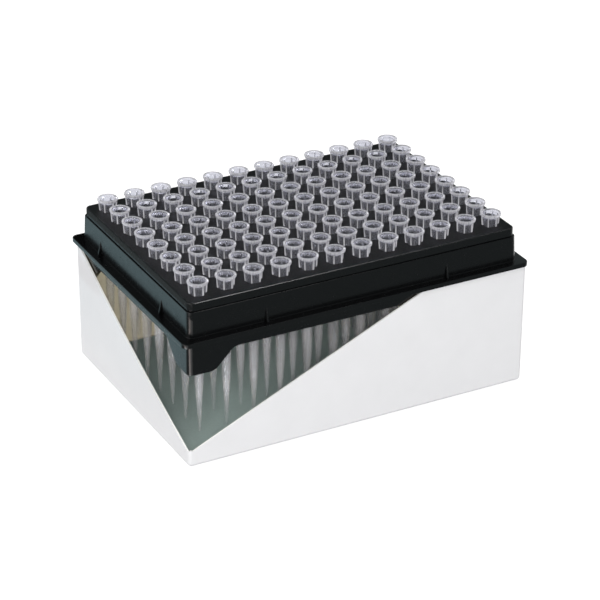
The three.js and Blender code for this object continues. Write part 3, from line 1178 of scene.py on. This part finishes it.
def tip_mesh(values):
    """A tip without its ribs, the middle of its rim's top at the origin."""
    angles = [2 * math.pi * i / TIP_SIDES for i in range(TIP_SIDES)]
    rings = [
        [(radius * math.cos(a), radius * math.sin(a), z) for a in angles]
        for radius, z in reversed(tip_profile(values))
    ]
    return skin("tip", rings, closed=True)


def rib_mesh(values, foot):
    """One rib that faces +X, from under the rim down to its foot on the deck."""
    half = values.rib / 2
    root = (values.tube + values.throat) / 2
    head = -values.rim_height + 0.2 * MM
    blunt = 0.12 * MM
    rings = []
    for z, reach in (
        (foot, values.rib_foot - blunt),
        (foot + blunt, values.rib_foot),
        (head, values.rib_head),
    ):
        rings.append(
            [
                (root, -half, z),
                (reach - blunt, -half, z),
                (reach, -half + blunt, z),
                (reach, half - blunt, z),
                (reach - blunt, half, z),
                (root, half, z),
            ]
        )
    return skin("rib", rings)


class BuildTips(bpy.types.Operator):
    """Build the ribbed tips and stand one in each hole"""

    bl_idname = "tip_box.tips"
    bl_label = "Tips"

    def execute(self, context):
        values = context.scene.tip_box_tips
        deck_top = FRAME_HIGH.z + context.scene.tip_box_deck.height
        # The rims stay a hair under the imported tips' rims, for the lean of a tip in its hole
        rim_z = TIP_HIGH.z - 0.04 * MM
        clearance = 0.02 * MM
        foot = deck_top - rim_z + clearance
        plastic = natural_polypropylene(values.thin, values.natural, deck_top)
        bare = put("bare_tip", tip_mesh(values))
        rib = put("rib", rib_mesh(values, foot))
        tips = put("pipette_tips", bpy.data.meshes.new("pipette_tips"), plastic)
        inputs = {
            "Columns": values.columns,
            "Rows": values.rows,
            "Pitch": values.pitch,
            "Height": rim_z,
            "Tip": bare,
            "Rib": rib,
            "Ribs": values.ribs,
            "First Rib": values.rib_turn,
            "Lean": values.lean,
            "Spin": values.spin,
            "Seed": LEAN_SEED,
            "Tube": values.tube,
            "Rim Height": values.rim_height,
            "Plastic": plastic,
        }
        grow(tips, tip_tree(), inputs)
        shade(tips, SHARP_ON_TIPS)
        drop(bare, rib)
        hand_over(tips, "tip_plastic", *TIP_NODES, "tip_deck")
        return {"FINISHED"}


# Stage ------------------------------------------------------------------------------------


WHITE = (1, 1, 1, 1)

# How strong the world's light is, how far the paper is lifted where it is seen, and the grey
# that it keeps there for the shadow
WORLD_LIGHT = 0.6
PAPER_LIFT = 0.86
PAPER_SHADED = (0.3, 0.3, 0.3, 1)

# The floor's half width in metres, and how far it lies under the box
FLOOR_REACH = 3
FLOOR_GAP = 0.02 * MM

# What the camera aims at, a little in front of the middle of the box, and its sensor's width
CAMERA_AIM = (0.03, -1.48, 24.4)
SENSOR = 36

# Linear colours of the cards besides the flags and the pale reflector
CARD_COLOURS = {
    "black_card": (0.01, 0.01, 0.01),
    "bright_strip": (16, 16, 16),
    "bright_reflector": (4.2, 3.7, 3.5),
    "bright_glow": (9, 9.6, 10),
}

# Each card's name, material and corners in millimetres: either two opposite ones of a card
# whose lower edge runs along X, or all four
CARDS = (
    (
        "front_flag",
        "black_flag",
        [(-160, -400, 0.5), (300, -400, 0.5), (300, -43, 0.5), (-52, -43, 0.5)],
    ),
    ("back_flag", "black_flag", [(-700, 420, 30), (1100, 420, 1100)]),
    ("top_flag", "black_flag", [(-700, -450, 1100), (1100, 420, 1100)]),
    ("upright_flag", "black_flag", [(-700, -450, 0.5), (1100, -450, 1100)]),
    ("left_flag", "black_flag", [(-700, -60, 0.5), (-64, 8, 0.5)]),
    ("left_reflector", "pale_reflector", [(-700, 8, 0.5), (-64, 500, 0.5)]),
    ("deck_flag", "black_flag", [(-62, -40, 49.6), (-55.6, 80, 49.6)]),
    ("flange_flag", "black_flag", [(-60, -60, 47), (70, -38, 47)]),
    ("flange_end_flag", "black_card", [(-57.5, 43, 41.7), (-40, 43, 52)]),
    (
        "leg_flag",
        "black_card",
        [(-57.1, 22, 28), (-57.1, 41, 28), (-57.1, 41, 35.8), (-57.1, 22, 35.8)],
    ),
    ("edge_reflector", "bright_strip", [(40, -330, 400), (200, -170, 500)]),
    (
        "corner_reflector",
        "bright_reflector",
        [(-92, -71, 0.8), (-153, -125, 0.8), (-181, -73, 0.8), (-102, -51, 0.8)],
    ),
    (
        "shaft_reflector",
        "bright_glow",
        [(-66, -50, 0.8), (-84, -66, 0.8), (-104, -58, 0.8), (-70, -42, 0.8)],
    ),
)

# Each soft box's name, place, the height over the origin that it aims at and its size, all
# in millimetres, its power in watts, and whether gloss mirrors it
LAMPS = (
    ("key_softbox", (-60, -420, 720), 30, (760, 420), 1.3, True),
    ("low_softbox", (-520, -740, 150), 25, (320, 220), 0.4, False),
    ("window_softbox", (-350, -660, 390), 20, (240, 160), 2.6, False),
    ("left_softbox", (-700, 100, 560), 25, (320, 320), 1.7, False),
    ("back_softbox", (150, 900, 260), 25, (420, 220), 3, False),
)


def bare_tree(owner):
    """The emptied node tree of a new material or world."""
    owner.use_nodes = True
    owner.node_tree.nodes.clear()
    return owner.node_tree


def white_behind(tree):
    """1 for rays that see the white background itself, and 0 for the light that it gives."""
    rays = add_node(tree, "ShaderNodeLightPath").outputs
    direct = [rays["Is Camera Ray"], rays["Is Glossy Ray"]]
    seen = add_node(tree, "ShaderNodeMath", direct, operation="MAXIMUM").outputs[0]
    either = [seen, rays["Is Transmission Ray"]]
    return add_node(tree, "ShaderNodeMath", either, operation="MAXIMUM").outputs[0]


def floor_material(rgb):
    """Matt white seamless paper. Seen directly it is lifted to white, and it keeps the
    object's soft shadow."""
    made = bpy.data.materials.new("seamless_paper")
    tree = bare_tree(made)
    lit = add_node(tree, "ShaderNodeBsdfDiffuse", {"Color": (*rgb, 1)})
    shaded = add_node(tree, "ShaderNodeBsdfDiffuse", {"Color": PAPER_SHADED})
    lift = add_node(tree, "ShaderNodeEmission", {"Color": WHITE, "Strength": PAPER_LIFT})
    seen = add_node(tree, "ShaderNodeAddShader", [shaded.outputs[0], lift.outputs[0]])
    either = [white_behind(tree), lit.outputs[0], seen.outputs[0]]
    mix = add_node(tree, "ShaderNodeMixShader", either)
    add_node(tree, "ShaderNodeOutputMaterial", [mix.outputs[0]])
    return made


def card_material(name, rgb):
    """A card with an even brightness, for reflections only."""
    made = bpy.data.materials.new(name)
    tree = bare_tree(made)
    even = add_node(tree, "ShaderNodeEmission", {"Color": (*rgb, 1), "Strength": 1.0})
    add_node(tree, "ShaderNodeOutputMaterial", [even.outputs[0]])
    return made


def card(name, corners, material):
    """A flat card that only reflections see."""
    if len(corners) == 2:
        low, high = corners
        corners = [low, (high[0], *low[1:]), high, (low[0], *high[1:])]
    mesh = bpy.data.meshes.new(name)
    mesh.from_pydata([Vector(c) * MM for c in corners], [], [tuple(range(4))])
    made = put(name, mesh, material)
    for rays in ("camera", "diffuse", "transmission", "volume_scatter", "shadow"):
        setattr(made, f"visible_{rays}", False)


def lamp(name, place, aim_height, size, power, mirrored):
    """A soft box, as the list of lamps gives it."""
    light = bpy.data.lights.new(name, "AREA")
    light.shape = "RECTANGLE"
    light.size = size[0] * MM
    light.size_y = size[1] * MM
    light.energy = power
    made = bpy.data.objects.new(name, light)
    made.visible_glossy = mirrored
    bpy.context.scene.collection.objects.link(made)
    made.location = Vector(place) * MM
    away = Vector((0, 0, aim_height)) * MM - made.location
    made.rotation_euler = away.to_track_quat("-Z", "Y").to_euler()


def camera(values):
    """The camera, turned and raised round what it aims at."""
    back = Vector(
        (
            math.sin(values.azimuth) * math.cos(values.elevation),
            -math.cos(values.azimuth) * math.cos(values.elevation),
            math.sin(values.elevation),
        )
    )
    data = bpy.data.cameras.new("camera")
    data.lens = values.lens
    data.sensor_width = SENSOR
    made = bpy.data.objects.new("camera", data)
    bpy.context.scene.collection.objects.link(made)
    look = (-back).to_track_quat("-Z", "Y").to_matrix().to_4x4()
    place = Matrix.Translation(Vector(CAMERA_AIM) * MM + back * values.distance)
    made.matrix_world = place @ look @ Matrix.Rotation(values.roll, 4, "Z")
    bpy.context.scene.camera = made


def world():
    """An even studio light from all round, white where it is seen."""
    made = bpy.data.worlds.new("studio")
    bpy.context.scene.world = made
    tree = bare_tree(made)
    light = add_node(tree, "ShaderNodeBackground", {"Color": WHITE, "Strength": WORLD_LIGHT})
    white = add_node(tree, "ShaderNodeBackground", {"Color": WHITE, "Strength": 1.0})
    either = [white_behind(tree), light.outputs[0], white.outputs[0]]
    mix = add_node(tree, "ShaderNodeMixShader", either)
    add_node(tree, "ShaderNodeOutputWorld", [mix.outputs[0]])


class BuildStage(bpy.types.Operator):
    """Build the floor, the cards, the lamps, the world and the camera"""

    bl_idname = "tip_box.stage"
    bl_label = "Stage"

    def execute(self, context):
        values = context.scene.tip_box_stage
        reach = FLOOR_REACH
        mesh = bpy.data.meshes.new("floor")
        square = rectangle((-reach, -reach), (reach, reach), -FLOOR_GAP)
        mesh.from_pydata(square, [], [(0, 1, 2, 3)])
        put("floor", mesh, floor_material(values.floor))

        colours = {"black_flag": values.flag, "pale_reflector": values.reflector, **CARD_COLOURS}
        finishes = {name: card_material(name, rgb) for name, rgb in colours.items()}
        for name, finish, corners in CARDS:
            card(name, corners, finishes[finish])
        for settings in LAMPS:
            lamp(*settings)
        camera(values)
        world()
        context.scene.view_settings.view_transform = "Standard"
        return {"FINISHED"}


# Add-on -----------------------------------------------------------------------------------

OPERATORS = (BuildCarton, BuildFrame, BuildDeck, BuildTips, BuildStage)
GROUPS = {
    "tip_box_carton": CartonValues,
    "tip_box_frame": FrameValues,
    "tip_box_deck": DeckValues,
    "tip_box_tips": TipValues,
    "tip_box_stage": StageValues,
}


class TipBoxPanel(bpy.types.Panel):
    """Lists the pieces of the box"""

    bl_idname = "VIEW3D_PT_tip_box"
    bl_label = "Tip box"
    bl_space_type = "VIEW_3D"
    bl_region_type = "UI"
    bl_category = "Tip box"

    def draw(self, context):
        for operator, group in zip(OPERATORS, GROUPS):
            self.layout.operator(operator.bl_idname)
            values = getattr(context.scene, group)
            for name in values.__annotations__:
                self.layout.prop(values, name)


def register():
    for group in GROUPS.values():
        bpy.utils.register_class(group)
    for name, group in GROUPS.items():
        setattr(bpy.types.Scene, name, PointerProperty(type=group))
    for operator in OPERATORS:
        bpy.utils.register_class(operator)
    bpy.utils.register_class(TipBoxPanel)


def unregister():
    bpy.utils.unregister_class(TipBoxPanel)
    for operator in reversed(OPERATORS):
        bpy.utils.unregister_class(operator)
    for name in GROUPS:
        delattr(bpy.types.Scene, name)
    for group in GROUPS.values():
        bpy.utils.unregister_class(group)


def main():
    register()
    for operator in OPERATORS:
        space, name = operator.bl_idname.split(".")
        getattr(getattr(bpy.ops, space), name)()


if __name__ == "__main__":
    main()
